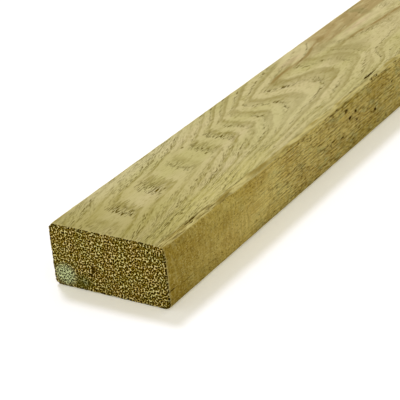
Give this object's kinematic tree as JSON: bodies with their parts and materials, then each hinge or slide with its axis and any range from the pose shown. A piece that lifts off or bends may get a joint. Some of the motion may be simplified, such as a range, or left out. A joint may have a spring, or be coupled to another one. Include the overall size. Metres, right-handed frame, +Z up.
{
  "type": "treated pine batten",
  "caption": "Straight rectangular softwood batten with eased long edges and square-sawn ends, pressure treated, for carrying cladding, boards or roofing.",
  "frame": {"origin": "middle of the wide face that the batten lies on", "axes": "+X along the length, with the end that the picture shows at -X; +Y across the width; +Z up through the thickness"},
  "size_m": [1.8, 0.07, 0.035],
  "materials": {
    "treated_pine": "dressed and sawn, green pressure treatment, no coating"
  },
  "bodies": {
    "root": {"batten": "treated_pine"}
  },
  "joints": []
}
